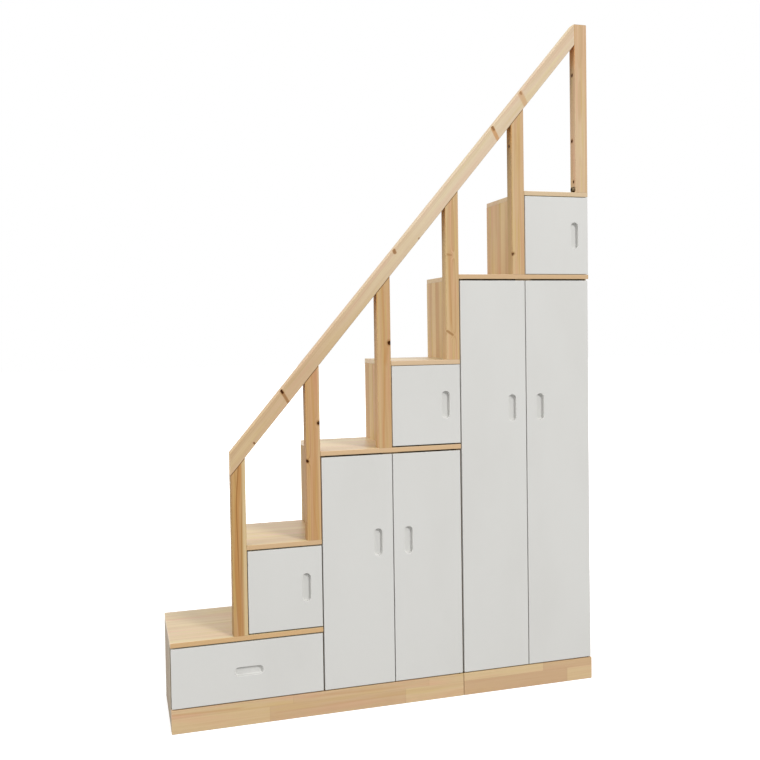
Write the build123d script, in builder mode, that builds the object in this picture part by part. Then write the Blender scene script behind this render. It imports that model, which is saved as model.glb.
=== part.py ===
"""Storage staircase for a loft bed: six steps built from boxes of glued pine board, with painted
doors and a drawer, and a sloping handrail on six posts.

X runs along the climb, the fronts face -Y and Z is up. The origin is at floor level, in the
middle of the footprint. All sizes are in millimetres."""
import os
from collections import defaultdict
from math import atan2, cos, sin

from build123d import *

os.makedirs("parts", exist_ok=True)

# ---- driving sizes -------------------------------------------------------------------------
run = 250  # one step along the climb
rise = 295  # one step up
steps = 6
depth = 345  # fronts to backs
panel = 16  # glued pine boards of the boxes
back_thickness = 4
plinth_height = 77
plinth_joint = 1.5  # open joint between the plinth boards of the two units
arris = 1.5  # softened edges of the boards

front_thickness = 16  # painted doors and drawer front
reveal = 4  # gap below the drawer front, the door of the second step and the pairs of doors
low_top_gap = 4.5  # gap above the drawer front and the door of the second step
pair_top_gap = 5.5  # gap above a pair of doors
middle_reveal = 4.5  # gaps below and above the door of the fourth step
middle_top_gap = 1.5
high_reveal = 1.5  # gaps below and above the door of the sixth step
high_top_gap = 2
side_reveal = 2  # from the line of its box to the drawer front or a single door's hinge edge
free_reveal = 1  # the same at a single door's free edge
pair_reveal = 3  # hinge edge of a door of a pair
meeting_reveal = 1.5  # free edge of a door of a pair, to the line between the two
door_back_gap = 4  # room behind a front, so that a door's inner edge can turn
front_arris = 1.5
hinge_arris = 3  # rounder edge where a door turns

pull_length = 94  # stadium finger recess
pull_width = 29
pull_depth = 11
pull_floor_radius = 4
pull_lip = 1.2
pull_from_edge = 54  # recess centre to the line of its box
pair_pull = 565  # recess centre above the floor, low pair of doors
tall_pull = 1004  # the same on the tall pair

pin_radius = 2.5  # hinge pins, one above and one below each door
pin_inset = 10  # pin axis to the door's hinge edge
pin_in_board = 10
pin_in_door = 14
pin_clearance = 0.05

post_width = 48
post_depth = 40
post_arris = 2.5
joint_arris = 1.2  # chamfer round the sloping top of a post
crown_arris = 4  # rounder edge round the top of the last post
rail_height = 582  # underside of the handrail above the riser end of each tread
rail_thickness = 48  # square to the slope

dowel_radius = 4
dowel_in_face = 10
dowel_in_edge = 22
dowel_clearance = 0.1
dowel_from_edge = 60  # first dowel to the nearer edge of the board
dowel_stagger = 30  # joints on the two sides of a board miss each other by this
rail_dowel_half = 22

bolt_radius = 3
bolt_clearance = 0.1
bolt_head_radius = 7.5
bolt_head = 2
bolt_in_post = 24
post_bolt_heights = (70, 215)  # above the tread that the post stands on
sleeve_radius = 4
sleeve_length = 14
unit_bolt_heights = (250, 650)
unit_bolt_height_step = 110  # above the tread of the upper box
foot_bolt_height = 11.5  # through the foot of the last post, above its tread
foot_bolt_setback = 12.5  # its axis behind the front of the post
foot_bolt_radius = 5
foot_washer_radius = 10
foot_washer = 2.5
foot_head_radius = 8.5
foot_head = 8
foot_head_round = 1.5
foot_socket = 8  # across the flats
foot_socket_depth = 4.5
foot_dowel_setback = 27.5  # foot dowels behind the front of the post
foot_dowel_offset = 12  # each side of the middle of the post

stop_width = 30  # blocks under the treads, behind the free edges of the doors
stop_height = 15
stop_depth = 12
stop_from_edge = 8  # block to the inner face of the box side
stop_clearance = 0.3  # closed door to block

shelf_gap = 1  # shelf ends to the box sides
shelf_setback = 12
low_shelf_count = 1
tall_shelf_count = 3
peg_radius = 2.5
peg_length = 14
peg_in_side = 7
peg_from_edge = 45
peg_clearance = 0.1
shelf_rest = 0.1  # shelf above its pegs

drawer_side = 12
drawer_base = 4
drawer_height = 140
drawer_rear_gap = 25  # behind the drawer box, in front of the back
drawer_lift = 22  # drawer box above the lower edge of its front
groove_depth = 5
groove_lift = 10
groove_clearance = 0.15
runner_gap = 12.5  # room for a runner on each side of the drawer
runner_height = 35
runner_wall = 1.2
runner_clearance = 0.3
runner_rail_depth = 10
runner_lift = 45  # runner axis above the bottom of the drawer box
runner_setback = 3

# ---- lines and levels worked out from them --------------------------------------------------
width = steps * run
front = -depth / 2
back = depth / 2
case_front = front + front_thickness + door_back_gap
case_back = back - back_thickness
floor_top = plinth_height + panel
slope = rise / run
slope_angle = atan2(rise, run)
rail_drop = rail_thickness / cos(slope_angle)  # handrail's thickness measured upright
pin_y = front + front_thickness / 2
post_y = front + post_depth / 2


def line(step):
    """X of the line where the given step ends and the next box begins."""
    return step * run - width / 2


def level(step):
    """Z of the top of a tread."""
    return step * rise


def under(step):
    """Z of the underside of a tread."""
    return level(step) - panel


def rail_under(x):
    """Z of the handrail's underside at a given X."""
    return rail_height + slope * (x + width / 2)


def middle(span):
    return (span[0] + span[1]) / 2


def size(span):
    return span[1] - span[0]


drillings = defaultdict(list)  # name of a piece -> holes as (point, direction, radius, depth)
dowels = []  # (start, direction, length)

UP, DOWN, LEFT, RIGHT = (0, 0, 1), (0, 0, -1), (-1, 0, 0), (1, 0, 0)


def finish(name, part):
    """Name a finished piece and write its file."""
    part.label = name
    export_step(part, f"parts/{name}.step")


def moved(point, direction, distance):
    return tuple(p + d * distance for p, d in zip(point, direction))


def rod(point, direction, radius, length, mode=Mode.ADD):
    """A round bar from a point along a direction, in the piece that is being made."""
    with Locations(Plane(origin=point, z_dir=direction)):
        Cylinder(radius, length, align=(Align.CENTER, Align.CENTER, Align.MIN), mode=mode)


def drill(name):
    """Cut the holes that were noted for a piece."""
    for point, direction, radius, hole_depth in drillings[name]:
        rod(point, direction, radius, hole_depth, mode=Mode.SUBTRACT)


def block(x, y, z):
    """A straight block between three pairs of limits."""
    with Locations((middle(x), middle(y), middle(z))):
        Box(size(x), size(y), size(z))


def board(name, x, y, z, edge=arris):
    """A flat board with softened edges and its noted holes."""
    with BuildPart() as piece:
        with BuildSketch(Plane.XY.offset(z[0])):
            with Locations((middle(x), middle(y))):
                Rectangle(size(x), size(y))
        extrude(amount=size(z))
        if edge:
            fillet(piece.edges(), edge)
        drill(name)
    finish(name, piece.part)


def shelf_group(name, x, y, levels):
    """Shelves of one cabinet, each a loose board with softened edges."""
    with BuildPart() as group:
        for z in levels:
            block(x, y, (z, z + panel))
        fillet(group.edges(), arris)
    finish(name, group.part)


# ---- joints between the boards --------------------------------------------------------------
def dowel_rows(shift):
    """Y of the dowels across the depth of the boxes."""
    first = case_front + dowel_from_edge + shift
    last = case_back - dowel_from_edge - dowel_stagger + shift
    return (first, (first + last) / 2, last)


def dowel_joint(point, direction, edge_name, face_name):
    """Note one dowel: direction points from the edge of one board into the face of the other."""
    back_way = tuple(-d for d in direction)
    hole = dowel_radius + dowel_clearance
    drillings[edge_name].append((point, back_way, hole, dowel_in_edge + dowel_clearance))
    drillings[face_name].append((point, direction, hole, dowel_in_face + dowel_clearance))
    dowels.append((moved(point, back_way, dowel_in_edge), direction, dowel_in_edge + dowel_in_face))


def stand(side_name, side_line, tread_name, tread_level):
    """Dowels that stand the side of an upper box on a tread."""
    for y in dowel_rows(dowel_stagger):
        dowel_joint((side_line, y, tread_level), DOWN, side_name, tread_name)


def cap(side_name, side_line, tread_name, tread_under):
    """Dowels that hold a tread on top of the side of its box."""
    for y in dowel_rows(0):
        dowel_joint((side_line, y, tread_under), UP, side_name, tread_name)


def butt(board_name, x, z, direction, side_name):
    """Dowels that hold the end of a level board against a side."""
    shift = 0 if direction == LEFT else dowel_stagger
    for y in dowel_rows(shift):
        dowel_joint((x, y, z), direction, board_name, side_name)


half = panel / 2
cap("side_1_left", line(0) + half, "tread_1", under(1))
butt("tread_1", line(2), level(1) - half, RIGHT, "side_3_left")
stand("side_2_left", line(1) + half, "tread_1", level(1))
cap("side_2_left", line(1) + half, "tread_2", under(2))
butt("tread_2", line(2), level(2) - half, RIGHT, "side_3_left")
cap("side_3_left", line(2) + half, "tread_3", under(3))
cap("side_3_right", line(4) - half, "tread_3", under(3))
stand("side_4_left", line(3) + half, "tread_3", level(3))
stand("side_4_right", line(4) - half, "tread_3", level(3))
cap("side_4_left", line(3) + half, "tread_4", under(4))
cap("side_4_right", line(4) - half, "tread_4", under(4))
cap("side_5_left", line(4) + half, "tread_5", under(5))
cap("side_5_right", line(6) - half, "tread_5", under(5))
stand("side_6_left", line(5) + half, "tread_5", level(5))
stand("side_6_right", line(6) - half, "tread_5", level(5))
cap("side_6_left", line(5) + half, "tread_6", under(6))
cap("side_6_right", line(6) - half, "tread_6", under(6))

# each floor board and the two sides that it spans
floors = {
    "floor_1": (line(0) + panel, line(2), "side_1_left", "side_3_left"),
    "floor_3": (line(2) + panel, line(4) - panel, "side_3_left", "side_3_right"),
    "floor_5": (line(4) + panel, line(6) - panel, "side_5_left", "side_5_right"),
}
for name, (left, right, left_side, right_side) in floors.items():
    butt(name, left, plinth_height + half, LEFT, left_side)
    butt(name, right, plinth_height + half, RIGHT, right_side)

# ---- doors and their pins -------------------------------------------------------------------
single = (side_reveal, free_reveal)
paired = (pair_reveal, meeting_reveal)
low_gaps = (reveal, low_top_gap)
pair_gaps = (reveal, pair_top_gap)
low_plinth = ("plinth_front_left", plinth_height)
tall_plinth = ("plinth_front_right", plinth_height)
# door: left line, right line, hinge side, gaps at its hinge edge and free edge, board below with
# its top, board above with its underside, gaps below and above, height of the finger recess
doors = {
    "door_2": (1, 2, LEFT, single, ("tread_1", level(1)), ("tread_2", under(2)), low_gaps, None),
    "door_3_left": (2, 3, LEFT, paired, low_plinth, ("tread_3", under(3)), pair_gaps, pair_pull),
    "door_3_right": (3, 4, RIGHT, paired, low_plinth, ("tread_3", under(3)), pair_gaps, pair_pull),
    "door_4": (3, 4, LEFT, single, ("tread_3", level(3)), ("tread_4", under(4)),
               (middle_reveal, middle_top_gap), None),
    "door_5_left": (4, 5, LEFT, paired, tall_plinth, ("tread_5", under(5)), pair_gaps, tall_pull),
    "door_5_right": (5, 6, RIGHT, paired, tall_plinth, ("tread_5", under(5)), pair_gaps, tall_pull),
    "door_6": (5, 6, LEFT, single, ("tread_5", level(5)), ("tread_6", under(6)),
               (high_reveal, high_top_gap), None),
}


def door_edges(door):
    """X of a door's left and right edges."""
    left_line, right_line, hinge, (hinge_gap, free_gap) = doors[door][:4]
    left_gap, right_gap = (hinge_gap, free_gap) if hinge == LEFT else (free_gap, hinge_gap)
    return line(left_line) + left_gap, line(right_line) - right_gap


pins = []  # (start, direction, length)
pin_hole = pin_radius + pin_clearance
for door, (_, _, hinge, _, (below, below_z), (above, above_z), (gap_below, gap_above), _) in doors.items():
    left_edge, right_edge = door_edges(door)
    x = left_edge + pin_inset if hinge == LEFT else right_edge - pin_inset
    ends = ((below, below_z, UP, gap_below), (above, above_z, DOWN, gap_above))
    for board_name, z, into_door, gap in ends:
        into_board = DOWN if into_door == UP else UP
        seat = (x, pin_y, z)
        drillings[board_name].append((seat, into_board, pin_hole, pin_in_board))
        edge = moved(seat, into_door, gap)
        drillings[door].append((edge, into_door, pin_hole, pin_in_door + pin_clearance))
        pins.append((moved(seat, into_board, pin_in_board), into_door, pin_in_board + gap + pin_in_door))

with BuildPart() as hinge_pins:
    for point, direction, length in pins:
        rod(point, direction, pin_radius, length)
finish("hinge_pins", hinge_pins.part)

# ---- bolts ----------------------------------------------------------------------------------
bolt_hole = bolt_radius + bolt_clearance
sides_at_posts = ("side_2_left", "side_3_left", "side_4_left", "side_5_left", "side_6_left")
bolt_y = (case_front + front + post_depth) / 2  # middle of the strip where post and side touch
post_bolts = []
for number, side in enumerate(sides_at_posts, start=1):
    for height in post_bolt_heights:
        head_seat = (line(number) + panel, bolt_y, level(number) + height)
        post_face = moved(head_seat, LEFT, panel)
        post_bolts.append(head_seat)
        drillings[side].append((head_seat, LEFT, bolt_hole, panel))
        drillings[f"post_{number}"].append((post_face, LEFT, bolt_hole, bolt_in_post + bolt_clearance))

with BuildPart() as post_bolt_group:
    for head_seat in post_bolts:
        rod(head_seat, RIGHT, bolt_head_radius, bolt_head)
        rod(head_seat, LEFT, bolt_radius, panel + bolt_in_post)
finish("post_bolts", post_bolt_group.part)

# bolts with sleeve nuts that hold the two units side by side
unit_bolt_rows = (case_front + dowel_from_edge, case_back - dowel_from_edge)
unit_bolts = [("side_3_right", y, z) for y in unit_bolt_rows for z in unit_bolt_heights]
unit_bolts += [("side_4_right", y, level(3) + unit_bolt_height_step) for y in unit_bolt_rows]
sleeve_hole = sleeve_radius + bolt_clearance
for side, y, z in unit_bolts:
    drillings[side].append(((line(4) - panel, y, z), RIGHT, sleeve_hole, panel))
    drillings["side_5_left"].append(((line(4), y, z), RIGHT, sleeve_hole, panel))

with BuildPart() as connectors:
    for _, y, z in unit_bolts:
        sleeve_seat = (line(4) - panel, y, z)
        rod(sleeve_seat, LEFT, bolt_head_radius, bolt_head)
        rod(sleeve_seat, RIGHT, sleeve_radius, sleeve_length)
        rod(sleeve_seat, RIGHT, bolt_hole, sleeve_length, mode=Mode.SUBTRACT)
        bolt_seat = (line(4) + panel, y, z)
        rod(bolt_seat, RIGHT, bolt_head_radius, bolt_head)
        rod(bolt_seat, LEFT, bolt_radius, 2 * panel - bolt_clearance)
finish("unit_bolts", connectors.part)

# socket-head bolt through the foot of the last post, which holds it to the bed beside it
foot_seat = (line(6) - post_width, front + foot_bolt_setback, level(6) + foot_bolt_height)
drillings["post_6"].append((foot_seat, RIGHT, foot_bolt_radius + bolt_clearance, post_width))
for side_step in (-foot_dowel_offset, foot_dowel_offset):
    foot_dowel = (line(6) - post_width / 2 + side_step, front + foot_dowel_setback, level(6))
    dowel_joint(foot_dowel, DOWN, "post_6", "tread_6")

with BuildPart() as foot_bolt:
    rod(foot_seat, LEFT, foot_washer_radius, foot_washer)
    head_seat = moved(foot_seat, LEFT, foot_washer)
    rod(head_seat, LEFT, foot_head_radius, foot_head)
    rim = foot_bolt.edges().sort_by(Axis.X)[0]
    fillet(rim, foot_head_round)
    with BuildSketch(Plane(origin=moved(head_seat, LEFT, foot_head), z_dir=LEFT)):
        RegularPolygon(foot_socket / 2, 6, major_radius=False)
    extrude(amount=-foot_socket_depth, mode=Mode.SUBTRACT)
    rod(foot_seat, RIGHT, foot_bolt_radius, post_width - bolt_clearance)
finish("foot_bolt", foot_bolt.part)

# ---- shelf pegs -----------------------------------------------------------------------------
def shelf_levels(count, top):
    """Undersides of evenly spaced shelves between a floor board and the tread above it."""
    pitch = (top - floor_top) / (count + 1)
    return [floor_top + pitch * (n + 1) - panel / 2 for n in range(count)]


low_levels = shelf_levels(low_shelf_count, under(3))
tall_levels = shelf_levels(tall_shelf_count, under(5))
peg_rows = (case_front + shelf_setback + peg_from_edge, case_back - peg_from_edge)
pegs = []
for left, right, left_side, right_side, levels in (
    (line(2) + panel, line(4) - panel, "side_3_left", "side_3_right", low_levels),
    (line(4) + panel, line(6) - panel, "side_5_left", "side_5_right", tall_levels),
):
    for shelf_under in levels:
        for y in peg_rows:
            z = shelf_under - peg_radius - shelf_rest
            for x, outward, side in ((left, LEFT, left_side), (right, RIGHT, right_side)):
                hole = (peg_radius + peg_clearance, peg_in_side + peg_clearance)
                drillings[side].append(((x, y, z), outward, *hole))
                inward = RIGHT if outward == LEFT else LEFT
                pegs.append((moved((x, y, z), outward, peg_in_side), inward))

with BuildPart() as shelf_pegs:
    for point, direction in pegs:
        rod(point, direction, peg_radius, peg_length)
finish("shelf_pegs", shelf_pegs.part)

# ---- boxes: sides, floors, treads, backs, shelves -------------------------------------------
case_y = (case_front, case_back)
# side: left face, bottom, top
sides = {
    "side_1_left": (line(0), 0, under(1)),
    "side_2_left": (line(1), level(1), under(2)),
    "side_3_left": (line(2), 0, under(3)),
    "side_3_right": (line(4) - panel, 0, under(3)),
    "side_4_left": (line(3), level(3), under(4)),
    "side_4_right": (line(4) - panel, level(3), under(4)),
    "side_5_left": (line(4), 0, under(5)),
    "side_5_right": (line(6) - panel, 0, under(5)),
    "side_6_left": (line(5), level(5), under(6)),
    "side_6_right": (line(6) - panel, level(5), under(6)),
}
for name, (left, bottom, top) in sides.items():
    board(name, (left, left + panel), case_y, (bottom, top), edge=0)

for name, (left, right, _, _) in floors.items():
    board(name, (left, right), case_y, (plinth_height, floor_top), edge=0)

tread_lines = {1: (0, 2), 2: (1, 2), 3: (2, 4), 4: (3, 4), 5: (4, 6), 6: (5, 6)}
for number, (left, right) in tread_lines.items():
    board(f"tread_{number}", (line(left), line(right)), (front, back), (under(number), level(number)))

for number, (left, right) in tread_lines.items():
    bottom = plinth_height if left in (0, 2, 4) else level(number - 1)
    board(f"back_{number}", (line(left), line(right)), (case_back, back), (bottom, under(number)), edge=0)

shelf_y = (case_front + shelf_setback, case_back)
low_x = (line(2) + panel + shelf_gap, line(4) - panel - shelf_gap)
tall_x = (line(4) + panel + shelf_gap, line(6) - panel - shelf_gap)
shelf_group("shelf_3", low_x, shelf_y, low_levels)
shelf_group("shelves_5", tall_x, shelf_y, tall_levels)

# ---- door stops -----------------------------------------------------------------------------
stop_y = (front + front_thickness + stop_clearance, front + front_thickness + stop_clearance + stop_depth)
# left end and underside of the tread of each block; a pair of doors shares a double one
stop_blocks = [
    (line(2) - stop_from_edge - stop_width, stop_width, under(2)),
    (line(3) - stop_width, 2 * stop_width, under(3)),
    (line(4) - panel - stop_from_edge - stop_width, stop_width, under(4)),
    (line(5) - stop_width, 2 * stop_width, under(5)),
    (line(6) - panel - stop_from_edge - stop_width, stop_width, under(6)),
]
with BuildPart() as door_stops:
    for left, length, top in stop_blocks:
        block((left, left + length), stop_y, (top - stop_height, top))
finish("door_stops", door_stops.part)

# ---- plinth ---------------------------------------------------------------------------------
low_plinth_x = (line(0), line(4) - plinth_joint / 2)
tall_plinth_x = (line(4) + plinth_joint / 2, line(6))
for name, x in (("plinth_front_left", low_plinth_x), ("plinth_front_right", tall_plinth_x)):
    board(name, x, (front, case_front), (0, plinth_height))

with BuildPart() as plinth_back:
    for left, right, _, _ in floors.values():
        block((left, right), (case_back - panel, case_back), (0, plinth_height))
finish("plinth_back_rails", plinth_back.part)


# ---- fronts ---------------------------------------------------------------------------------
def front_panel(name, x, z, hinge, pull, pull_is_level):
    """A painted front with a stadium finger recess; pull is the recess centre as (x, z)."""
    with BuildPart() as piece:
        with BuildSketch(Plane.XZ.offset(-front - front_thickness)):
            with Locations((middle(x), middle(z))):
                Rectangle(size(x), size(z))
        extrude(amount=front_thickness)
        upright = piece.edges().filter_by(Axis.Z)
        if hinge:
            edge_side = upright.group_by(Axis.X)[0 if hinge == LEFT else -1]
            fillet(edge_side, hinge_arris)
        face = piece.faces().sort_by(Axis.Y)[0]
        fillet(face.edges(), front_arris)
        with BuildSketch(Plane.XZ.offset(-front)):
            with Locations(pull):
                SlotOverall(pull_length, pull_width, rotation=0 if pull_is_level else 90)
        extrude(amount=-pull_depth, mode=Mode.SUBTRACT)
        recess = piece.edges().filter_by(lambda e: abs(e.center().Y - front - pull_depth) < 0.01)
        fillet(recess, pull_floor_radius)
        rim = piece.faces().sort_by(Axis.Y)[0].inner_wires()[0]
        fillet(rim.edges(), pull_lip)
        drill(name)
    finish(name, piece.part)


for name, (left, right, hinge, _, (_, bottom), (_, top), (gap_below, gap_above), pull_z) in doors.items():
    z = (bottom + gap_below, top - gap_above)
    pull_x = line(right) - pull_from_edge if hinge == LEFT else line(left) + pull_from_edge
    pull = (pull_x, pull_z or middle((bottom, top)))
    front_panel(name, door_edges(name), z, hinge, pull, pull_is_level=False)

drawer_x = (line(0) + side_reveal, line(2) - side_reveal)
drawer_z = (plinth_height + reveal, under(1) - low_top_gap)
drawer_pull = (middle(drawer_x), middle((plinth_height, under(1))))
front_panel("drawer_front", drawer_x, drawer_z, None, drawer_pull, pull_is_level=True)

# ---- drawer ---------------------------------------------------------------------------------
bay = (line(0) + panel, line(2))
box_x = (bay[0] + runner_gap, bay[1] - runner_gap)
box_y = (front + front_thickness, case_back - drawer_rear_gap)
box_z = (drawer_z[0] + drawer_lift, drawer_z[0] + drawer_lift + drawer_height)
inner_x = (box_x[0] + drawer_side, box_x[1] - drawer_side)
base_x = (inner_x[0] - groove_depth, inner_x[1] + groove_depth)
base_y = (box_y[0], box_y[1] - drawer_side + groove_depth)
base_z = (box_z[0] + groove_lift, box_z[0] + groove_lift + drawer_base)
groove_x = (base_x[0] - groove_clearance, base_x[1] + groove_clearance)
groove_y = (base_y[0], base_y[1] + groove_clearance)
groove_z = (base_z[0] - groove_clearance, base_z[1] + groove_clearance)


def grooved(name, x, y):
    """A wall of the drawer box, cut by the groove that holds the base."""
    with BuildPart() as piece:
        block(x, y, box_z)
        with Locations((middle(groove_x), middle(groove_y), middle(groove_z))):
            Box(size(groove_x), size(groove_y), size(groove_z), mode=Mode.SUBTRACT)
    finish(name, piece.part)


grooved("drawer_left", (box_x[0], inner_x[0]), box_y)
grooved("drawer_right", (inner_x[1], box_x[1]), box_y)
grooved("drawer_back", inner_x, (box_y[1] - drawer_side, box_y[1]))
board("drawer_base", base_x, base_y, base_z, edge=0)

# runners: a channel on the side of the box, and a rail on the drawer that slides inside it
runner_y = (box_y[0] + runner_setback + door_back_gap, box_y[1])
runner_z = box_z[0] + runner_lift
rail_half = runner_height / 2 - runner_wall - runner_clearance


def channel(web_x, inward, half_height, reach):
    """A C-shaped strip: web_x is the outer face of its web, the flanges reach inward."""
    with BuildSketch(Plane.XZ.offset(-runner_y[0])) as profile:
        with Locations((web_x + inward * reach / 2, runner_z)):
            Rectangle(reach, 2 * half_height)
        with Locations((web_x + inward * (reach / 2 + runner_wall), runner_z)):
            Rectangle(reach, 2 * (half_height - runner_wall), mode=Mode.SUBTRACT)
    extrude(profile.sketch, amount=-size(runner_y))


with BuildPart() as runner_channels:
    channel(bay[0], 1, runner_height / 2, runner_gap - runner_wall - runner_clearance)
    channel(bay[1], -1, runner_height / 2, runner_gap - runner_wall - runner_clearance)
finish("runner_channels", runner_channels.part)

with BuildPart() as runner_rails:
    channel(box_x[0], -1, rail_half, runner_rail_depth)
    channel(box_x[1], 1, rail_half, runner_rail_depth)
finish("runner_rails", runner_rails.part)

# ---- posts and handrail ---------------------------------------------------------------------
rail_top = rail_under(line(6) - post_width) + rail_drop  # the last post ends level with the rail


def post(number):
    """A post on its tread, flush with the fronts; all but the last are cut along the slope."""
    x = (line(number) - post_width, line(number))
    bottom = level(number)
    last = number == steps
    with BuildPart() as piece:
        with BuildSketch(Plane.XZ.offset(-front - post_depth)):
            with BuildLine():
                left_top = rail_top if last else rail_under(x[0])
                right_top = rail_top if last else rail_under(x[1])
                Polyline((x[0], bottom), (x[1], bottom), (x[1], right_top), (x[0], left_top), close=True)
            make_face()
        extrude(amount=post_depth)
        fillet(piece.edges().filter_by(Axis.Z), post_arris)
        top_edges = piece.faces().sort_by(Axis.Z)[-1].edges()
        if last:
            fillet(top_edges, crown_arris)
        else:
            chamfer(top_edges, joint_arris)
        drill(f"post_{number}")
    finish(f"post_{number}", piece.part)


# dowels through the sloping joint, square to the slope
across = (-sin(slope_angle), 0, cos(slope_angle))
rail_dowels = []
for number in range(1, steps):
    x = line(number) - post_width / 2
    joint = (x, post_y, rail_under(x))
    into_post = tuple(-c for c in across)
    hole = (dowel_radius + dowel_clearance, rail_dowel_half + dowel_clearance)
    drillings[f"post_{number}"].append((joint, into_post, *hole))
    drillings["handrail"].append((joint, across, *hole))
    rail_dowels.append(moved(joint, into_post, rail_dowel_half))

for number in range(1, steps + 1):
    post(number)

low_end = line(1) - post_width
high_end = line(6) - post_width
with BuildPart() as handrail:
    with BuildSketch(Plane.XZ.offset(-front - post_depth)):
        with BuildLine():
            Polyline(
                (low_end, rail_under(low_end)),
                (high_end, rail_under(high_end)),
                (high_end, rail_under(high_end) + rail_drop),
                (low_end, rail_under(low_end) + rail_drop),
                close=True,
            )
        make_face()
    extrude(amount=post_depth)
    long_edges = handrail.edges().filter_by(lambda e: e.length > 2 * rail_thickness)
    fillet(long_edges, post_arris)
    drill("handrail")
finish("handrail", handrail.part)

with BuildPart() as rail_dowel_group:
    for start in rail_dowels:
        rod(start, across, dowel_radius, 2 * rail_dowel_half)
finish("rail_dowels", rail_dowel_group.part)

with BuildPart() as case_dowels:
    for point, direction, length in dowels:
        rod(point, direction, dowel_radius, length)
finish("case_dowels", case_dowels.part)
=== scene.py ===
from math import atan2, cos, radians, sin

import bmesh
import bpy
from mathutils import Matrix, Vector


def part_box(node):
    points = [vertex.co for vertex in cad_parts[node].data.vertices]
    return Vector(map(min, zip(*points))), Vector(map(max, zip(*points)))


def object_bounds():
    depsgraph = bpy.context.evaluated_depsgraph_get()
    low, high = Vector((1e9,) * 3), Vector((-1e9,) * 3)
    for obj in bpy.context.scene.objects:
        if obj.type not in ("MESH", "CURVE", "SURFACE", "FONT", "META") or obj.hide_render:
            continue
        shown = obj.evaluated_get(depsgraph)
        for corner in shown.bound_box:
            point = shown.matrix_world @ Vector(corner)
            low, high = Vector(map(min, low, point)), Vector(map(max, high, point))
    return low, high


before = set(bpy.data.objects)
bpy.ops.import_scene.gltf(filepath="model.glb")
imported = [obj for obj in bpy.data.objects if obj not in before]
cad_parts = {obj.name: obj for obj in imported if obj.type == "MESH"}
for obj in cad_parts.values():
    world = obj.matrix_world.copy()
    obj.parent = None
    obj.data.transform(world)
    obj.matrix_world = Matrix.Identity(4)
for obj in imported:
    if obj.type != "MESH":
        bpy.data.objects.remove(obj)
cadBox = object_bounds()
print("frame loaded:", len(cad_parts), "nodes")


# one output socket of a node, so that shader sums read as sums
class Signal:
    def __init__(self, finish, socket):
        self.finish = finish
        self.socket = socket

    def out(self, name):
        return Signal(self.finish, self.socket.node.outputs[name])

    def maths(self, operation, *others):
        return self.finish.maths(operation, self, *others)

    def __add__(self, other):
        return self.finish.maths("ADD", self, other)

    def __radd__(self, other):
        return self.finish.maths("ADD", other, self)

    def __sub__(self, other):
        return self.finish.maths("SUBTRACT", self, other)

    def __rsub__(self, other):
        return self.finish.maths("SUBTRACT", other, self)

    def __mul__(self, other):
        return self.finish.maths("MULTIPLY", self, other)

    def __rmul__(self, other):
        return self.finish.maths("MULTIPLY", other, self)

    def __truediv__(self, other):
        return self.finish.maths("DIVIDE", self, other)

    def __rtruediv__(self, other):
        return self.finish.maths("DIVIDE", other, self)

    def __pow__(self, other):
        return self.finish.maths("POWER", self, other)

    def clip(self):
        return self.finish.node("Clamp", inputs={"Value": self})

    def ease(self, start, end, low=0.0, high=1.0):
        limits = {"From Min": start, "From Max": end, "To Min": low, "To Max": high}
        return self.finish.node("MapRange", {"interpolation_type": "SMOOTHSTEP"}, {"Value": self, **limits})


# a material or a world, and the few calls that build its nodes
class Finish:
    def __init__(self, name, store=bpy.data.materials):
        self.holder = store.new(name)
        self.holder.use_nodes = True
        self.tree = self.holder.node_tree
        self.tree.nodes.clear()

    def node(self, kind, settings=None, inputs=None, output=0):
        made = self.tree.nodes.new("ShaderNode" + kind)
        for key, value in (settings or {}).items():
            if key == "stops":
                self.setStops(made.color_ramp, value)
            else:
                setattr(made, key, value)
        for key, value in (inputs or {}).items():
            if isinstance(value, Signal):
                self.tree.links.new(value.socket, made.inputs[key])
            else:
                made.inputs[key].default_value = value
        return Signal(self, made.outputs[output]) if made.outputs else None

    def setStops(self, ramp, stops):
        while len(ramp.elements) < len(stops):
            ramp.elements.new(0.5)
        for element, (place, level) in zip(ramp.elements, stops):
            element.position = place
            element.color = (level, level, level, 1)

    def maths(self, operation, *values):
        return self.node("Math", {"operation": operation}, dict(enumerate(values)))

    def vectors(self, operation, *values, output=0):
        return self.node("VectorMath", {"operation": operation}, dict(enumerate(values)), output)

    def tint(self, factor, first, second, mode="MIX"):
        colours = [(*c, 1) if isinstance(c, tuple) else c for c in (first, second)]
        return self.node("Mix", {"data_type": "RGBA", "blend_type": mode},
                         {0: factor, 6: colours[0], 7: colours[1]}, 2)

    def noise(self, point, scale, detail=2.0, roughness=0.5, seed=0.0):
        sizes = {"Scale": scale, "Detail": detail, "Roughness": roughness, "W": seed}
        return self.node("TexNoise", {"noise_dimensions": "4D"}, {"Vector": point, **sizes})

    def stretched(self, point, scales):
        return self.vectors("MULTIPLY", point, scales)

    def surface(self, colour, roughness, height, depth, constants=None):
        inputs = {"Base Color": colour, "Roughness": roughness, **(constants or {})}
        inputs["Normal"] = self.node("Bump", None, {"Height": height, "Distance": depth})
        shader = self.node("BsdfPrincipled", None, inputs)
        self.node("OutputMaterial", None, {"Surface": shader})
        return self.holder


def stained(colour, stain):
    # a colour made lighter or darker by a number, or turned by three
    factors = stain if isinstance(stain, tuple) else (stain, stain, stain)
    return tuple(c * f for c, f in zip(colour, factors))


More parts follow.
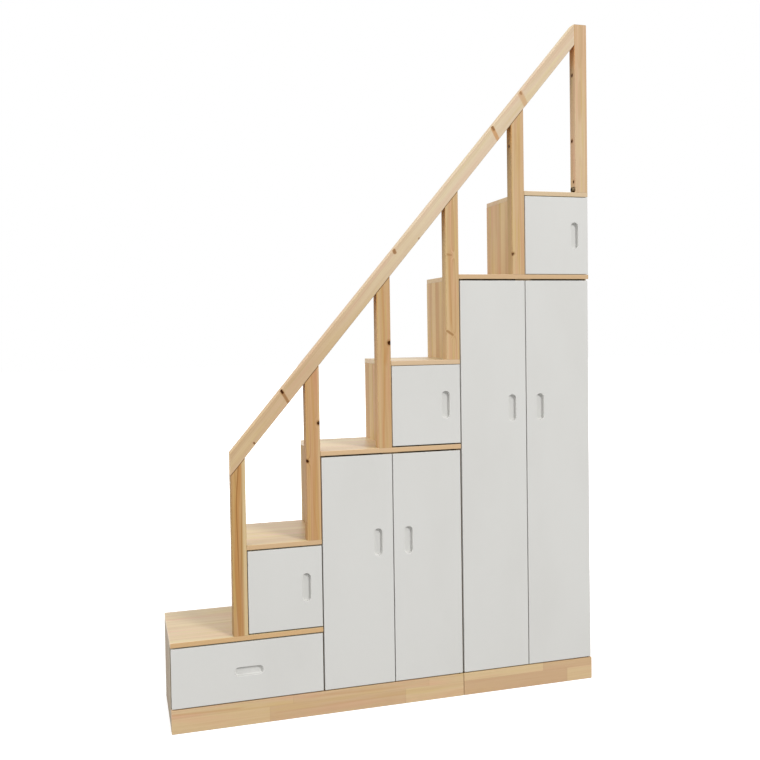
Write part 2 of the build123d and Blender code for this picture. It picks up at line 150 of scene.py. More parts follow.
# glued pine; order names the axes along the grain, across the face and through the thickness
pineLook = {
    "order": "XYZ", "turn": 0.0, "seed": 1.0, "early": (0.650, 0.472, 0.285),
    "ringSpacing": 0.0042, "ringDrift": 2.4, "ringAmount": 0.6, "lean": 0.02, "wander": 0.012,
    "pithAcross": 0.03, "pithNear": 0.012, "pithFar": 0.055,
    "staveWidth": 0.058, "staveTone": 0.35, "blockLength": 0.0, "joints": [], "seam": 0.35,
    "broad": 0.45, "band": 0.45, "bandScale": 62.0, "bandRun": 1.3, "hue": 0.8, "hueScale": 34.0,
    "fibre": 0.14, "edge": 0.0, "edgeStain": (0.92, 0.80, 0.71), "endTone": 0.38, "endFrom": (0.5, 0.95),
    "fadeFrom": None, "fadeTo": 0.0, "fadeTint": (1.0, 1.0, 1.0),
    "knots": [], "streaks": [], "patches": [],
    "roughness": 0.45, "gloss": 0.12, "relief": 0.00025,
}
# what turns the early wood into the other tones of the same board
pineStains = {"late": (0.67, 0.50, 0.34), "straw": (1.05, 1.12, 1.06), "rose": (0.96, 0.85, 0.76),
              "end": (0.55, 0.42, 0.28), "blush": (1.06, 0.90, 0.98), "honey": (0.98, 1.02, 0.74)}
knotLook = {"core": (0.050, 0.014, 0.002), "tone": (0.33, 0.150, 0.045), "dark": 1.0, "rim": 0.6,
            "push": 1.6, "pushReach": 0.45, "rough": 0.6, "roughScale": 160.0}
# scale of each noise along the grain, across it and through the board
grainScales = {"slow": (1.1, 7.0, 7.0), "slower": (0.7, 4.0, 4.0), "fibres": (7.0, 330.0, 330.0),
               "broad": (1.6, 16.0, 16.0)}
yearStops = [(0, 0.0), (0.45, 0.12), (0.82, 0.75), (0.93, 1.0), (1.0, 0.0)]  # early to late wood in a ring
firstStave = 40  # keeps the numbers of staves above zero
glueWidth = 0.0005  # glue lines along the grain
cutWidth = 0.0006  # glue lines across the grain, and the edges of patches


def spikeDistance(finish, point, knot):
    # distance to the line of a knot, in its own radii
    start, end = Vector(knot["from"]), Vector(knot["to"])
    way = end - start
    beyond = finish.vectors("SUBTRACT", point, tuple(start))
    share = finish.vectors("DOT_PRODUCT", beyond, tuple(way), output="Value") / way.length_squared
    along = finish.vectors("SCALE", tuple(way))
    finish.tree.links.new(share.clip().socket, along.socket.node.inputs["Scale"])
    nearest = finish.vectors("ADD", along, tuple(start))
    return finish.vectors("DISTANCE", point, nearest, output="Value") / knot["radius"]


def glueStaves(finish, look, along, across, centre):
    # gives the number of the stave, the place in it, the block along it and the glue lines
    if not look["staveWidth"]:
        whole = finish.node("Value")
        whole.socket.default_value = 1.0
        return whole, across - centre, 0.0, None
    place = across / look["staveWidth"] + firstStave
    stave = place.maths("FLOOR")
    inStave = (place.maths("FRACT") - 0.5) * look["staveWidth"]
    seam = (place.maths("FRACT") - 0.5).maths("ABSOLUTE").ease(0.5 - glueWidth / look["staveWidth"], 0.5)
    block = 0.0
    for row, joint in look["joints"]:           # finger joints at known places
        inRow = (stave - (firstStave + row)).maths("ABSOLUTE").ease(0.6, 0.4)
        block = inRow * along.maths("GREATER_THAN", joint) + block
        cut = (along - joint).maths("ABSOLUTE").ease(cutWidth, cutWidth / 3)
        seam = seam.maths("MAXIMUM", inRow * cut)
    if look["blockLength"]:                     # finger joints at equal steps
        stagger = finish.node("TexWhiteNoise", {"noise_dimensions": "1D"}, {"W": stave + look["seed"] * 3.7})
        length = along / look["blockLength"] + stagger * 9 + 20
        block = length.maths("FLOOR")
        cut = (length.maths("FRACT") - 0.5).maths("ABSOLUTE").ease(0.5 - cutWidth / look["blockLength"], 0.5)
        seam = seam.maths("MAXIMUM", cut)
    return stave, inStave, block, seam


def growRings(finish, look, along, inStave, inward, chances, slow, slower):
    # rings round the pith of each stave, counted from the pith
    first, second, third = chances
    pithAcross = (first - 0.5) * (2 * look["pithAcross"])
    pithThrough = second * (look["pithFar"] - look["pithNear"]) + look["pithNear"]
    sideways = inStave - pithAcross + (slow - 0.5) * look["wander"]
    inward = inward + pithThrough + (third - 0.5) * along * look["lean"]
    inward = inward + (slower - 0.5) * look["wander"]
    radius = (sideways * sideways + inward * inward).maths("SQRT")
    uneven = {"W": radius * 90.0 + look["seed"], "Scale": 1.0, "Detail": 2.0}
    drift = finish.node("TexNoise", {"noise_dimensions": "1D"}, uneven)
    return radius / look["ringSpacing"] + slow * 0.8 + drift * look["ringDrift"]


def streakBand(streak, along, across, slow):
    # how strongly a streak shows; its middle follows points as (along, across)
    path = streak["path"]
    middle = path[0][1]
    for (start, before), (end, after) in zip(path, path[1:]):
        middle = along.ease(start, end, 0.0, after - before) + middle
    bent = across - middle + (slow - 0.5) * streak.get("bend", 0.006)
    band = (bent / streak["width"]).maths("ABSOLUTE").ease(1.0, 0.25) * streak["amount"]
    if "span" in streak:
        low, high = streak["span"]
        fade = streak.get("fade", 0.06)
        band = band * along.ease(low, low + fade) * along.ease(high, high - fade)
    if "every" in streak:                       # comes back at equal steps
        start, length, step = streak["every"]
        reach = ((along - start) / step).maths("FRACT") * step
        band = band * reach.ease(length, length - 0.002)
    return band


def patchInside(patch, along, across):
    (left, right), (low, high) = patch["along"], patch["across"]
    inside = along.ease(left, left + cutWidth) * along.ease(right + cutWidth, right)
    return inside * across.ease(low, low + cutWidth) * across.ease(high + cutWidth, high)


def faceTurnedTo(finish, way):
    # 1 on the faces that look along a direction, either way round
    normal = finish.node("TexCoord", output="Normal")
    return finish.vectors("DOT_PRODUCT", normal, way, output="Value").maths("ABSOLUTE")


def pine(name, centre, **changes):
    look = {**pineLook, **changes}
    seed = look["seed"]
    finish = Finish(name)
    point = finish.node("TexCoord", output="Object")
    if look["turn"]:
        point = finish.node("Mapping", None, {"Vector": point, "Rotation": (0, look["turn"], 0)})
    axes = finish.node("SeparateXYZ", None, {0: point})
    along, across, through = (axes.out(axis) for axis in look["order"])
    board = finish.node("CombineXYZ", None, {0: along, 1: across, 2: through})

    stave, inStave, block, seam = glueStaves(finish, look, along, across, centre[1])
    cell = finish.node("CombineXYZ", None, {0: stave, 1: block, 2: seed})
    chance = finish.node("TexWhiteNoise", {"noise_dimensions": "3D"}, {"Vector": cell}, "Color")
    colours = finish.node("SeparateColor", None, {0: chance})
    chances = [colours.out(channel) for channel in ("Red", "Green", "Blue")]

    slow = finish.noise(finish.stretched(board, grainScales["slow"]), 1.0, 2.0, seed=seed)
    slower = finish.noise(finish.stretched(board, grainScales["slower"]), 1.0, 1.0, seed=seed + 5)
    phase = growRings(finish, look, along, inStave, through - centre[2], chances, slow, slower)

    # knots push the grain aside
    rims, cores = [], []
    for changed in look["knots"]:
        knot = {**knotLook, **changed}
        reach = spikeDistance(finish, board, knot)
        rough = finish.noise(board, knot["roughScale"], 2.0, seed=seed)
        reach = reach + (rough - 0.5) * knot["rough"]
        phase = phase + knot["push"] / (1.0 + (reach * knot["pushReach"]) ** 2.0)
        rims.append((reach.ease(2.0, 1.0) * knot["rim"], knot["tone"]))
        cores.append(reach.ease(1.1, 0.75) * knot["dark"])

    # late wood at the end of each ring, stronger in some years
    ring = finish.node("ValToRGB", {"stops": yearStops}, {"Fac": phase.maths("FRACT")})
    year = finish.node("TexWhiteNoise", {"noise_dimensions": "1D"}, {"W": phase.maths("FLOOR") + seed})
    late = ring * (year ** 2.0 * 0.8 + 0.2) * look["ringAmount"]

    early = look["early"]
    deep, straw, rose, sawn, blush, honey = (
        stained(early, pineStains[stain]) for stain in ("late", "straw", "rose", "end", "blush", "honey"))
    bandStretch = (look["bandRun"], look["bandScale"], look["bandScale"])
    hueStretch = (3.0, look["hueScale"], look["hueScale"])
    fibres = finish.noise(finish.stretched(board, grainScales["fibres"]), 1.0, 3.0, 0.6, seed)
    broad = finish.noise(finish.stretched(board, grainScales["broad"]), 1.0, 3.0, 0.55, seed + 2)
    bands = finish.noise(finish.stretched(board, bandStretch), 1.0, 2.0, 0.55, seed + 9)
    hue = finish.noise(finish.stretched(board, hueStretch), 1.0, 2.0, 0.6, seed + 13)
    colour = finish.tint(hue.ease(0.50, 0.66) * look["hue"], early, blush)
    colour = finish.tint(hue.ease(0.50, 0.34) * look["hue"], colour, honey)
    colour = finish.tint(late, colour, deep)
    colour = finish.tint(broad.ease(0.50, 0.72) * look["broad"], colour, rose)
    colour = finish.tint(broad.ease(0.48, 0.28) * look["broad"], colour, straw)
    colour = finish.tint(bands.ease(0.50, 0.74) * look["band"], colour, stained(rose, 0.88))
    colour = finish.tint(bands.ease(0.50, 0.26) * look["band"], colour, stained(straw, 1.06))
    if look["staveWidth"]:
        colour = finish.tint(chances[0].ease(0.5, 1.0) * look["staveTone"], colour, stained(rose, 0.9))
        colour = finish.tint(chances[1].ease(0.5, 1.0) * look["staveTone"], colour, stained(straw, 1.08))
    # bands of colour along a path: grain streaks, and on the posts and handrail also painted shade
    for streak in look["streaks"]:
        colour = finish.tint(streakBand(streak, along, across, slow), colour, streak["colour"])
    for patch in look["patches"]:
        colour = finish.tint(patchInside(patch, along, across) * patch["amount"], colour, patch["colour"])
    colour = finish.tint(fibres.ease(0.35, 0.75) * look["fibre"], colour, deep)
    if look["fadeFrom"] is not None:
        faded = along.ease(look["fadeFrom"], look["fadeTo"])
        colour = finish.tint(faded, colour, look["fadeTint"], "MULTIPLY")
    for rim, tone in rims:
        colour = finish.tint(rim, colour, tone)
    for core in cores:
        colour = finish.tint(core, colour, knotLook["core"])
    if seam is not None:
        colour = finish.tint(seam * look["seam"], colour, stained(deep, 0.7))

    if look["edge"]:
        narrow = faceTurnedTo(finish, tuple(float(axis == look["order"][1]) for axis in "XYZ"))
        colour = finish.tint(narrow.ease(0.4, 0.9) * look["edge"], colour, stained(early, look["edgeStain"]))
    # sawn ends drink more lacquer; on the posts this tone also paints a shade line on the chamfers under the
    # handrail
    grain = tuple(float(axis == look["order"][0]) for axis in "XYZ")
    if look["turn"]:
        grain = (cos(look["turn"]), 0.0, sin(look["turn"]))
    ends = faceTurnedTo(finish, grain).ease(*look["endFrom"])
    colour = finish.tint(ends * look["endTone"], colour, sawn)

    relief = late * 0.5 + fibres * 0.5
    if seam is not None:
        relief = relief - seam * 0.6
    roughness = late * 0.10 + fibres * 0.08 + look["roughness"]
    return finish.surface(colour, roughness, relief, look["relief"], {"Specular IOR Level": look["gloss"]})


# satin paint, brushed on the fronts
paintLook = {"colour": (0.650, 0.645, 0.618), "shade": (0.632, 0.626, 0.598), "roughness": 0.46,
             "relief": 0.00007, "peelScale": 520.0, "cloudScales": (5.0, 5.0, 2.2),
             "brushScales": (160.0, 160.0, 9.0)}


def paint(name, seed):
    finish = Finish(name)
    point = finish.node("TexCoord", output="Object")
    clouds = finish.noise(finish.stretched(point, paintLook["cloudScales"]), 1.0, 3.0, 0.5, seed)
    peel = finish.noise(point, paintLook["peelScale"], 2.0, 0.5, seed)
    brush = finish.noise(finish.stretched(point, paintLook["brushScales"]), 1.0, 2.0, 0.5, seed)
    colour = finish.tint(clouds.ease(0.35, 0.7), paintLook["colour"], paintLook["shade"])
    relief = peel * 0.6 + brush * 0.4
    return finish.surface(colour, clouds * 0.08 + paintLook["roughness"], relief, paintLook["relief"])


# bolts, pins, pegs and runners
metalLook = {
    "steel": {"colour": (0.60, 0.60, 0.61), "dull": (0.44, 0.44, 0.45), "roughness": 0.28},
    "darkSteel": {"colour": (0.150, 0.108, 0.062), "dull": (0.085, 0.060, 0.034), "roughness": 0.38},
}
scratchLook = {"scales": (60.0, 60.0, 600.0), "cloudScale": 90.0, "relief": 0.00002}


def metal(name, kind):
    look = metalLook[kind]
    finish = Finish(name)
    point = finish.node("TexCoord", output="Object")
    scratches = finish.noise(finish.stretched(point, scratchLook["scales"]), 1.0, 2.0, 0.6)
    clouds = finish.noise(point, scratchLook["cloudScale"], 3.0)
    colour = finish.tint(clouds.ease(0.4, 0.7), look["colour"], look["dull"])
    roughness = scratches * 0.2 + look["roughness"]
    return finish.surface(colour, roughness, scratches, scratchLook["relief"], {"Metallic": 1.0})


def centreOf(node, order):
    low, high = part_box(node)
    middle = (low + high) / 2
    return tuple(middle["XYZ".index(axis)] for axis in order)


def dress(node, material):
    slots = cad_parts[node].data.materials
    if len(slots) == 0:
        slots.append(material)
    for number in range(len(slots)):
        slots[number] = material


def dressPine(node, **changes):
    order = changes.get("order", "XYZ")
    dress(node, pine(node + "Pine", centreOf(node, order), **changes))


# where the pieces stand, to put marks on them
steps, run, rise = 6, 0.250, 0.295
postWidth = 0.048
slopeAngle = atan2(rise, run)
halfWidth, frontY = cadBox[1][0], cadBox[0][1]
lineX = [k * run - halfWidth for k in range(steps + 1)]
treadZ = [k * rise for k in range(steps + 1)]

# posts, each with its own streaks and knots; the streaks at the left edge are painted shade on the left side
# faces
tawny = (0.50, 0.245, 0.080)
brown = (0.29, 0.130, 0.040)
cream = (0.68, 0.53, 0.30)
# dark colour of the painted shadow line in the handrail joints
jointShadowColour = (0.10, 0.050, 0.015)
# the strong end tone from low angles darkens the chamfers at the sloped top: partly end grain, partly painted
# shade in the joint under the handrail
postLook = {"order": "ZXY", "staveWidth": 0, "bandScale": 90.0, "bandRun": 3.0, "wander": 0.020,
            "hueScale": 75.0, "gloss": 0.04, "endTone": 0.9, "endFrom": (0.2, 0.45)}
# streaks follow points as (above the foot, from the left edge)
posts = {
    1: {"early": (0.555, 0.348, 0.168), "streaks": [
        {"path": [(0.0, 0.026), (0.22, 0.017), (0.40, 0.020), (0.58, 0.033)], "width": 0.012,
         "amount": 0.75, "colour": tawny, "span": (-0.15, 0.90), "fade": 0.35},
        {"path": [(0.0, 0.024), (0.25, 0.021), (0.42, 0.018), (0.60, 0.028)], "width": 0.0022,
         "amount": 0.8, "colour": brown, "span": (0.12, 0.70), "fade": 0.15},
        {"path": [(0.0, 0.030), (0.30, 0.033), (0.60, 0.040)], "width": 0.003, "amount": 0.25,
         "colour": brown},
        {"path": [(0.0, 0.043)], "width": 0.010, "amount": 0.85, "colour": cream},
        # painted shade on the left side face
        {"path": [(0.0, -0.001)], "width": 0.005, "amount": 0.7, "colour": (0.20, 0.125, 0.055)}]},
    2: {"early": (0.575, 0.352, 0.180), "streaks": [
        {"path": [(0.05, 0.024), (0.30, 0.030), (0.60, 0.022)], "width": 0.006, "amount": 0.35,
         "colour": tawny},
        {"path": [(0.0, 0.033), (0.14, 0.022), (0.40, 0.026)], "width": 0.0025, "amount": 0.4,
         "colour": tawny, "span": (-0.1, 0.30)},
        {"path": [(0.0, 0.044)], "width": 0.004, "amount": 0.5, "colour": cream},
        # painted shade on the left side face
        {"path": [(0.0, -0.001)], "width": 0.004, "amount": 0.5, "colour": (0.30, 0.170, 0.065)}],
        "marks": [{"at": (0.0045, 0.264), "radius": 0.0045, "depth": 0.004},
                  {"at": (0.044, 0.390), "radius": 0.0062, "depth": 0.010}]},
    3: {"early": (0.580, 0.377, 0.196), "streaks": [
        {"path": [(0.0, 0.018), (0.30, 0.026), (0.60, 0.020)], "width": 0.005, "amount": 0.45,
         "colour": tawny},
        {"path": [(0.29, 0.028), (0.35, 0.034)], "width": 0.010, "amount": 0.45, "colour": tawny,
         "span": (0.27, 0.365), "fade": 0.03},
        {"path": [(0.0, 0.007)], "width": 0.005, "amount": 0.3, "colour": cream}],
        "marks": [{"at": (0.0432, 0.357), "radius": 0.0072, "depth": 0.010, "push": 2.4}]},
    4: {"early": (0.630, 0.440, 0.240), "streaks": [
        {"path": [(0.08, 0.017), (0.38, 0.013)], "width": 0.006, "amount": 0.42, "colour": tawny,
         "span": (0.08, 0.40)},
        {"path": [(0.08, 0.019), (0.38, 0.016)], "width": 0.0018, "amount": 0.25, "colour": brown,
         "span": (0.08, 0.38)},
        {"path": [(0.0, 0.004)], "width": 0.005, "amount": 0.4, "colour": cream}],
        "marks": [{"at": (0.007, 0.363), "to": (0.020, 0.361), "radius": 0.0026, "dark": 0.05,
                   "rim": 0.45, "push": 2.6},
                  {"at": (0.003, 0.099), "to": (0.022, 0.086), "radius": 0.0028, "dark": 0.08,
                   "rim": 0.65, "push": 2.6}]},
    5: {"early": (0.630, 0.432, 0.248), "streaks": [
        {"path": [(0.0, 0.007)], "width": 0.005, "amount": 0.4, "colour": cream},
        {"path": [(0.0, 0.036), (0.30, 0.030), (0.60, 0.034)], "width": 0.004, "amount": 0.25,
         "colour": tawny},
        {"path": [(0.0, 0.040)], "width": 0.012, "amount": 0.6, "colour": (0.625, 0.425, 0.265),
         "span": (0.25, 0.90), "fade": 0.15},
        # painted shade on the left side face
        {"path": [(0.0, -0.001)], "width": 0.004, "amount": 0.4, "colour": (0.36, 0.25, 0.09)}],
        "marks": [{"side": (0.0015, 0.071), "radius": 0.0048, "depth": 0.004, "dark": 0.8},
                  {"side": (0.018, 0.452), "radius": 0.0058, "depth": 0.020}]},
    6: {"early": (0.650, 0.480, 0.300), "ringAmount": 0.35, "shade": (0.85, 0.345, 0.10), "streaks": [
        {"path": [(0.0, 0.040), (0.40, 0.043)], "width": 0.004, "amount": 0.2, "colour": tawny}],
        "marks": [{"side": (0.020, 0.422), "radius": 0.0056, "depth": 0.018},
                  {"side": (0.025, 0.188), "radius": 0.0060, "depth": 0.018},
                  {"side": (0.015, 0.040), "radius": 0.0050, "depth": 0.016}]},
}
# where the handrail keeps the light off
railShade = {"path": [(0.0, -0.001)], "width": 0.004, "amount": 0.6, "span": (0.40, 0.9), "fade": 0.11,
             "colour": (0.64, 0.30, 0.07)}


def postKnots(number, marks):
    # marks on the front are at (from the left edge, above the foot),
    # those on the left side at (behind the front, above the foot)
    left, foot = lineX[number] - postWidth, treadZ[number]
    knots = []
    for mark in marks:
        shape = {key: mark[key] for key in ("radius", "dark", "rim", "push") if key in mark}
        if "side" in mark:
            behind, height = mark["side"]
            start = (foot + height, left, frontY + behind)
            end = (foot + height + 0.003, left + mark["depth"], frontY + behind + 0.002)
        else:
            across, height = mark["at"]
            start = (foot + height, left + across, frontY)
            if "to" in mark:
                end = (foot + mark["to"][1], left + mark["to"][0], frontY)
            else:
                end = (foot + height + 0.004, left + across - 0.002, frontY + mark["depth"])
        knots.append({"from": start, "to": end, **shape})
    return knots


for number, look in posts.items():
    left, foot = lineX[number] - postWidth, treadZ[number]
    shades = [{**railShade, "colour": look.get("shade", railShade["colour"])}] if number > 1 else []
    streaks = []
    for streak in look["streaks"] + shades:
        path = [(foot + height, left + across) for height, across in streak["path"]]
        streaks.append({**streak, "path": path})
        if "span" in streak:
            streaks[-1]["span"] = tuple(foot + height for height in streak["span"])
    knots = postKnots(number, look.get("marks", []))
    dressPine(f"post_{number}", seed=number * 7.3, early=look["early"], streaks=streaks, knots=knots,
              ringAmount=look.get("ringAmount", 0.7), **postLook)

# handrail
railLook = {"order": "XZY", "staveWidth": 0, "lean": 0.008, "ringAmount": 0.42,
            "early": (0.620, 0.455, 0.279), "gloss": 0.06, "hueScale": 50.0, "hue": 0.4, "bandRun": 2.4,
            "band": 0.42, "broad": 0.25, "fadeTint": (1.13, 1.24, 1.44)}
railHeight = 0.582  # underside of the rail above the riser end of each tread
railLow = (lineX[1] - postWidth, railHeight + (lineX[1] - postWidth + halfWidth) * rise / run)
railAlong = railLow[0] * cos(slopeAngle) + railLow[1] * sin(slopeAngle)
railAcross = railLow[1] * cos(slopeAngle) - railLow[0] * sin(slopeAngle)
railMarks = [  # start and end as (along from the low end, above the underside)
    {"at": (0.318, 0.047), "to": (0.315, 0.038), "radius": 0.0040},
    {"at": (0.315, 0.038), "to": (0.303, 0.004), "radius": 0.0034, "dark": 0.1, "rim": 0.75},
    {"at": (0.130, 0.006), "to": (0.130, 0.008), "radius": 0.0028, "dark": 0.6},
    {"at": (0.926, 0.047), "to": (0.922, 0.038), "radius": 0.0042, "dark": 0.15, "rim": 0.8},
    {"at": (1.491, 0.046), "to": (1.488, 0.036), "radius": 0.0040, "dark": 0.45, "rim": 0.9},
    {"at": (1.488, 0.040), "to": (1.474, 0.006), "radius": 0.0046, "dark": 0.0, "rim": 0.85,
     "tone": (0.56, 0.30, 0.125)},
    {"at": (1.657, 0.047), "to": (1.640, 0.005), "radius": 0.0064, "dark": 0.0, "rim": 0.65,
     "tone": (0.57, 0.34, 0.17)},
    {"at": (1.659, 0.047), "to": (1.656, 0.040), "radius": 0.0030, "dark": 0.12, "rim": 0.6},
    {"at": (1.014, 0.002), "to": (1.016, 0.003), "radius": 0.0024, "dark": 0.2},
]
railKnots = []
for mark in railMarks:
    shape = {key: mark[key] for key in ("radius", "dark", "rim", "tone") if key in mark}
    start, end = ((railAlong + mark[key][0], railAcross + mark[key][1], frontY) for key in ("at", "to"))
    railKnots.append({"from": start, "to": end, "push": 1.2, **shape})
# a painted shadow line in the open joint over each post
railJointShadow = {"path": [(0.0, railAcross)], "width": 0.0022, "amount": 0.75, "bend": 0.0, "colour": jointShadowColour,
              "every": (railAlong, postWidth / cos(slopeAngle), run / cos(slopeAngle))}
dressPine("handrail", turn=slopeAngle, seed=31.0, knots=railKnots, streaks=[railJointShadow],
          fadeFrom=railAlong + 0.2, fadeTo=railAlong + 1.35, **railLook)

# treads
treadLook = {"early": (0.650, 0.505, 0.315), "roughness": 0.32, "gloss": 0.35, "edge": 1.0}
treadTones = {1: (0.95, 0.965, 0.99), 3: (1.05, 1.06, 1.08)}
treadEdges = {1: (0.99, 0.81, 0.62), 4: (0.98, 0.91, 0.90), 6: (0.97, 0.94, 0.94)}
for number in range(1, steps + 1):
    look = {**treadLook, "early": stained(treadLook["early"], treadTones.get(number, 1.0)),
            "edgeStain": treadEdges.get(number, pineLook["edgeStain"])}
    dressPine(f"tread_{number}", seed=40.0 + number * 3.1, **look)

# upright boards
sideLook = {"order": "ZYX", "early": (0.555, 0.395, 0.238), "staveWidth": 0.038, "staveTone": 0.8, "hue": 1.0,
            "roughness": 0.5, "gloss": 0.05}
# darker early wood paints shade on these left-facing boards, and on side_1_left the grey tone also paints the
# sheen of light at a grazing angle
shadeAndSheenSides = {"side_1_left": {"early": (0.325, 0.270, 0.205), "staveTone": 0.3, "hue": 0.4},
          "side_3_left": {"early": (0.400, 0.275, 0.145)}}
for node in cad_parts:
    if node.startswith("side_"):
        look = {**sideLook, **shadeAndSheenSides.get(node, {})}
        dressPine(node, seed=70.0 + len(node) + ord(node[5]) * 1.7, **look)
    if node.startswith("back_"):
        dressPine(node, order="ZXY", seed=90.0 + ord(node[5]) * 2.1, staveWidth=0)

# level boards and blocks
for node in ("floor_1", "floor_3", "floor_5", "shelf_3", "shelves_5", "door_stops"):
    dressPine(node, seed=120.0 + len(node))

# plinth: two rows of finger-jointed lengths
plinthLook = {"order": "XZY", "early": (0.650, 0.472, 0.280), "staveWidth": 0.050, "staveTone": 0.0,
              "ringAmount": 0.4}
sallow = (0.71, 0.545, 0.312)
rosy = (0.590, 0.393, 0.236)
lower, upper = (-0.01, 0.050), (0.050, 0.09)
leftJoints = [(0, -0.434), (0, 0.035), (1, -0.355), (1, 0.120)]  # row and place along
rightJoints = [(0, 0.650), (1, 0.555)]
dressPine("plinth_front_left", seed=131.0, joints=leftJoints, patches=[
    {"along": (-0.76, -0.434), "across": lower, "colour": sallow, "amount": 0.35},
    {"along": (-0.434, 0.035), "across": lower, "colour": rosy, "amount": 0.50},
    {"along": (0.035, 0.250), "across": lower, "colour": sallow, "amount": 0.30},
    {"along": (-0.355, 0.120), "across": upper, "colour": rosy, "amount": 0.35}], streaks=[
    {"path": [(-0.434, 0.028), (0.00, 0.033)], "width": 0.0045, "amount": 0.35, "colour": tawny,
     "span": (-0.434, 0.05), "fade": 0.03},
    {"path": [(-0.75, 0.062), (-0.55, 0.058)], "width": 0.0050, "amount": 0.35, "colour": tawny,
     "span": (-0.78, -0.50), "fade": 0.05},
    {"path": [(-0.36, 0.066), (0.05, 0.060)], "width": 0.0060, "amount": 0.30, "colour": tawny,
     "span": (-0.355, 0.06), "fade": 0.08}], **plinthLook)
dressPine("plinth_front_right", seed=137.0, joints=rightJoints, patches=[
    {"along": (0.250, 0.650), "across": lower, "colour": rosy, "amount": 0.8},
    {"along": (0.650, 0.760), "across": lower, "colour": sallow, "amount": 0.40},
    {"along": (0.250, 0.555), "across": upper, "colour": sallow, "amount": 0.55},
    {"along": (0.555, 0.760), "across": upper, "colour": rosy, "amount": 0.6}], streaks=[
    {"path": [(0.25, 0.046), (0.65, 0.042)], "width": 0.0040, "amount": 0.30, "colour": tawny,
     "span": (0.25, 0.60), "fade": 0.06}], **plinthLook)
dressPine("plinth_back_rails", order="XZY", seed=139.0, staveWidth=0.052, blockLength=0.32)

# drawer box and dowels
for node in ("drawer_left", "drawer_right"):
    dressPine(node, order="YZX", seed=140.0 + len(node), staveWidth=0.07)
dressPine("drawer_back", order="XZY", seed=145.0, staveWidth=0.07)
dressPine("drawer_base", order="XYZ", seed=146.0, staveWidth=0)
dressPine("case_dowels", order="YXZ", seed=150.0, staveWidth=0, ringAmount=0.15)
dressPine("rail_dowels", order="ZXY", seed=151.0, staveWidth=0, ringAmount=0.15)

# fronts and hardware
doors = [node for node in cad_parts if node.startswith("door_") and node != "door_stops"]
for number, node in enumerate(["drawer_front"] + doors):
    dress(node, paint(node + "Paint", 3.0 + number))
for node in ("post_bolts", "unit_bolts", "shelf_pegs", "runner_channels", "runner_rails"):
    dress(node, metal(node + "Steel", "steel"))
for node in ("foot_bolt", "hinge_pins"):
    dress(node, metal(node + "Steel", "darkSteel"))
print("finishes made")

# pale floor that shows as white far from the object
studio = {"floorSize": 30.0, "floorCells": 8, "floorDrop": 0.0004, "floorColour": (0.88, 0.88, 0.88),
          "floorBounce": (0.35, 0.35, 0.35), "floorGlow": 0.45, "floorShade": (0.9, 2.2), "world": 0.45}


def seenDirectly(finish):
    # 1 for what the camera sees by itself, in a mirror or through glass
    ray = finish.node("LightPath", output="Is Camera Ray")
    return ray.maths("MAXIMUM", ray.out("Is Glossy Ray")).maths("MAXIMUM", ray.out("Is Transmission Ray"))


sheet = bmesh.new()
cells = studio["floorCells"]
bmesh.ops.create_grid(sheet, x_segments=cells, y_segments=cells, size=studio["floorSize"])
bmesh.ops.translate(sheet, vec=(0, 0, -studio["floorDrop"]), verts=sheet.verts)
floorMesh = bpy.data.meshes.new("floor")
sheet.to_mesh(floorMesh)
sheet.free()
floor = bpy.data.objects.new("floor", floorMesh)
bpy.context.scene.collection.objects.link(floor)
floorFinish = Finish("paleFloor")
seen = seenDirectly(floorFinish)
floorColour = floorFinish.tint(seen, studio["floorBounce"], studio["floorColour"])
diffuse = floorFinish.node("BsdfDiffuse", None, {"Color": floorColour})
away = floorFinish.vectors("LENGTH", floorFinish.node("TexCoord", output="Object"), output="Value")
brightness = studio["floorGlow"] + away.ease(*studio["floorShade"]) * (1.0 - studio["floorGlow"])
glow = floorFinish.node("Emission", None, {"Color": (1, 1, 1, 1), "Strength": seen * brightness})
lit = floorFinish.node("AddShader", None, {0: diffuse, 1: glow})
floorFinish.node("OutputMaterial", None, {"Surface": lit})
floorMesh.materials.append(floorFinish.holder)

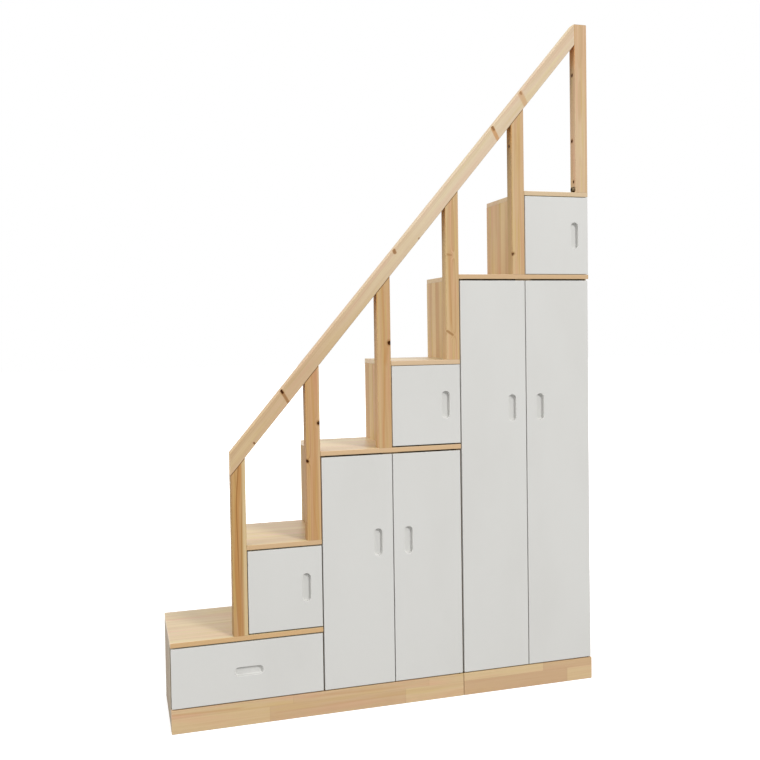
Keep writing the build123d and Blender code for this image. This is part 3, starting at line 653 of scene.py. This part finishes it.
# white round about, and soft daylight for the rest
sky = Finish("studio", bpy.data.worlds)
bpy.context.scene.world = sky.holder
strength = sky.node("MapRange", None, {"Value": seenDirectly(sky), "To Min": studio["world"], "To Max": 1.0})
white = sky.node("Background", None, {"Color": (1, 1, 1, 1), "Strength": strength})
sky.node("OutputWorld", None, {"Surface": white})

lamps = {  # where each softbox stands, what it faces, its size and its power
    "keySoftbox": {"at": (11.0, -20.3, 16.2), "aim": (0.0, 0.0, 1.2), "size": 6.8, "power": 4750.0},
    "leftSoftbox": {"at": (-18.0, -3.6, 7.0), "aim": (0.0, 0.0, 1.2), "size": 9.0, "power": 2000.0},
    "topSoftbox": {"at": (-0.6, 0.9, 12.0), "aim": (0.0, 0.0, 0.0), "size": 6.6, "power": 330.0},
}
for name, look in lamps.items():
    lamp = bpy.data.lights.new(name, "AREA")
    lamp.energy = look["power"]
    lamp.size = look["size"]
    softbox = bpy.data.objects.new(name, lamp)
    softbox.location = look["at"]
    softbox.rotation_mode = "QUATERNION"
    softbox.rotation_quaternion = (Vector(look["at"]) - Vector(look["aim"])).to_track_quat("Z", "Y")
    bpy.context.scene.collection.objects.link(softbox)

# camera
shot = {"lens": 43.76, "sensor": 36, "yaw": 16.673, "pitch": -1.680, "roll": -0.849,
        "place": (-0.89586, -3.17707, 1.28934), "shift": (-0.0159, -0.0316)}
yaw, pitch, roll = (radians(shot[turn]) for turn in ("yaw", "pitch", "roll"))
ahead = Vector((sin(yaw) * cos(pitch), cos(yaw) * cos(pitch), sin(pitch)))
right = Vector((cos(yaw), -sin(yaw), 0))
up = right.cross(ahead)
level = cos(roll) * right + sin(roll) * up
upright = cos(roll) * up - sin(roll) * right
cameraData = bpy.data.cameras.new("camera")
cameraData.sensor_width = shot["sensor"]
cameraData.lens = shot["lens"]
cameraData.shift_x, cameraData.shift_y = shot["shift"]
camera = bpy.data.objects.new("camera", cameraData)
turned = Matrix((level, upright, -ahead)).transposed().to_4x4()
camera.matrix_world = Matrix.Translation(shot["place"]) @ turned
bpy.context.scene.collection.objects.link(camera)
bpy.context.scene.camera = camera
bpy.context.scene.view_settings.view_transform = "Standard"

print("scene ready")
